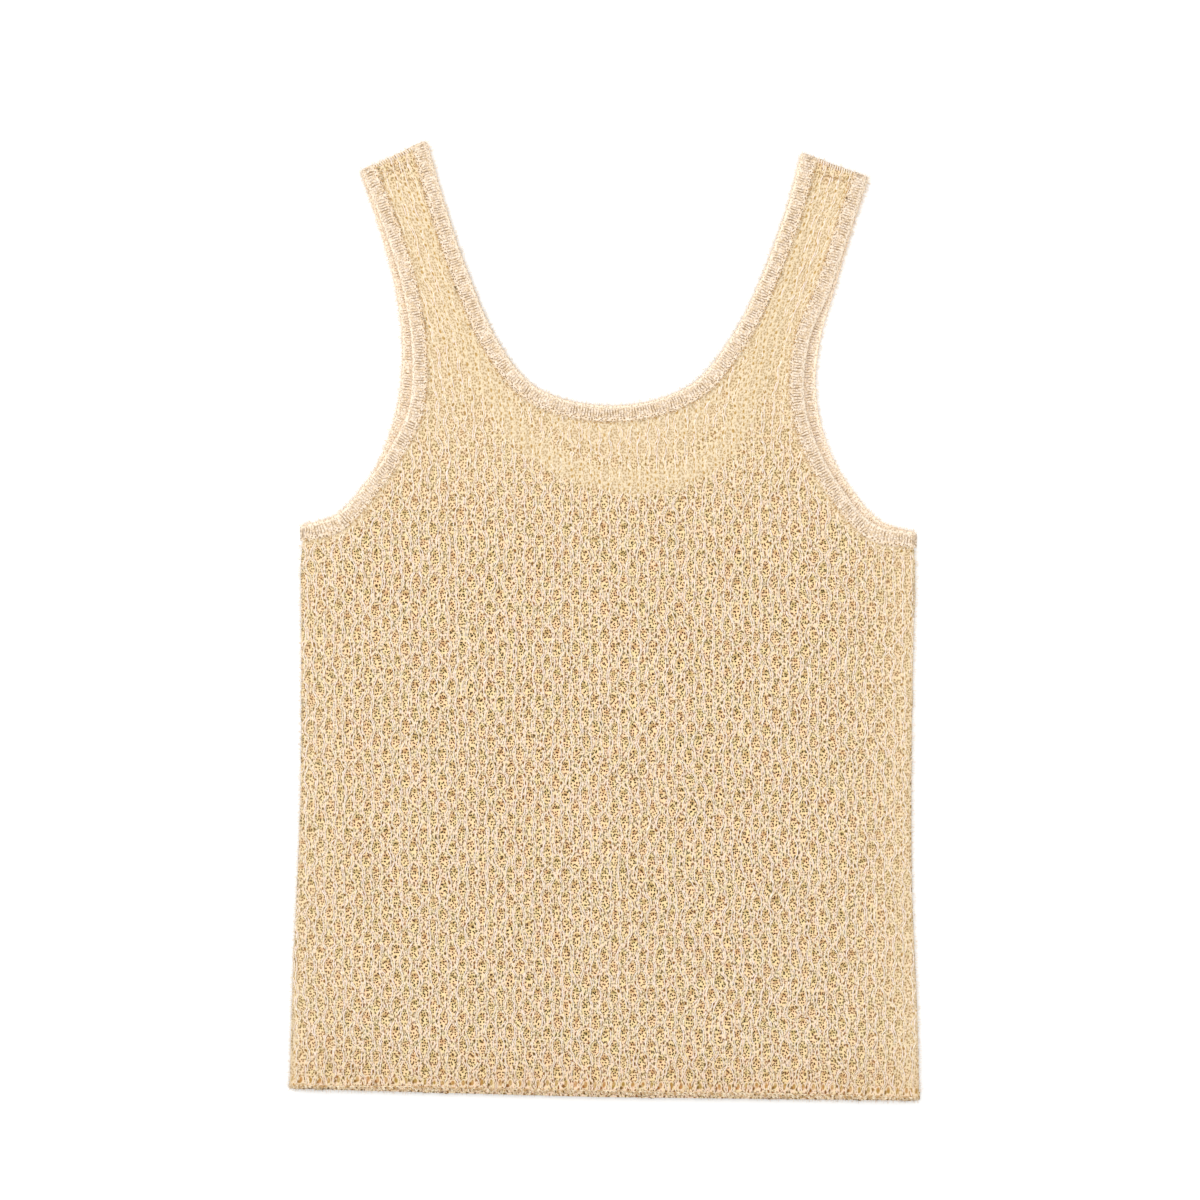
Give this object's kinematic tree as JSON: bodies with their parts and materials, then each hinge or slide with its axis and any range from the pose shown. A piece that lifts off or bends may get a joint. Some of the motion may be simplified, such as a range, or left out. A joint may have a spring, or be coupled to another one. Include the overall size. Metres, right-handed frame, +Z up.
{
  "type": "openwork knit sweater vest",
  "caption": "Sleeveless scoop-neck openwork knit top, laid flat, with narrow rib bands at the neck and armholes and a chain cast-off hem.",
  "frame": {"origin": "on the surface the garment lies on, under the middle of its outline", "axes": "+Y towards the neck, +X to the right of the shown layer, +Z up out of the surface"},
  "size_m": [0.3888, 0.5918, 0.0056],
  "materials": {
    "openwork_knit": "matt cream cotton yarn in an openwork honeycomb stitch",
    "rib_knit": "matt cream cotton yarn in a narrow rib"
  },
  "bodies": {
    "root": {"front_panel": "openwork_knit", "back_panel": "openwork_knit", "neck_band": "rib_knit", "armhole_band_left": "rib_knit", "armhole_band_right": "rib_knit"}
  },
  "joints": []
}
